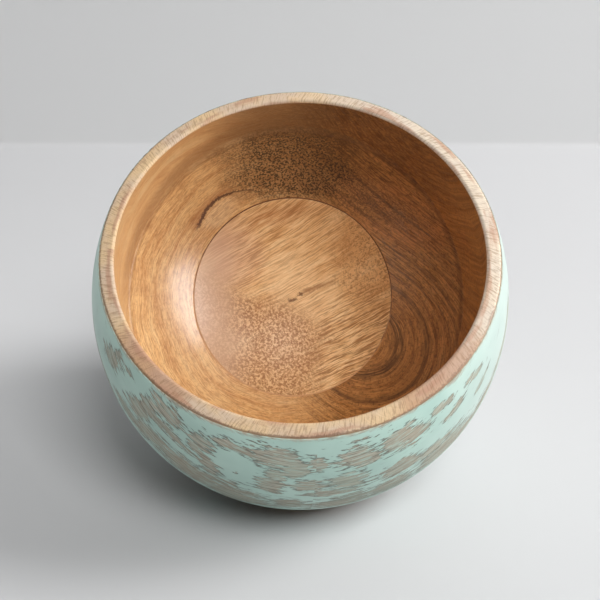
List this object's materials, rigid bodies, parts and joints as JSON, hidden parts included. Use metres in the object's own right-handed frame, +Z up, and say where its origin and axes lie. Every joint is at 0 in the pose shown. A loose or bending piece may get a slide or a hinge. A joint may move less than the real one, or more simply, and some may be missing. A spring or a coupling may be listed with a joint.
{
  "type": "wooden bowl",
  "caption": "Round turned wooden bowl with a slanted mouth and a rounded lip, bare oiled wood inside with a glued-in bottom disc, and worn mint paint outside.",
  "frame": {"origin": "middle of the flat standing face, on the table", "axes": "+Z up, -Y towards the low side of the mouth, +X to the right of someone who faces the mouth"},
  "size_m": [0.2008, 0.2035, 0.1851],
  "materials": {
    "bowl_wood": "oiled satin",
    "disc_wood": "oiled satin",
    "glue": "cured wood glue, sanded flush",
    "mint_paint": "flat brushed paint, worn"
  },
  "bodies": {
    "root": {"bowl_wall": "bowl_wood", "bottom_disc": "disc_wood", "glue_line": "glue", "paint_coat": "mint_paint"}
  },
  "joints": []
}
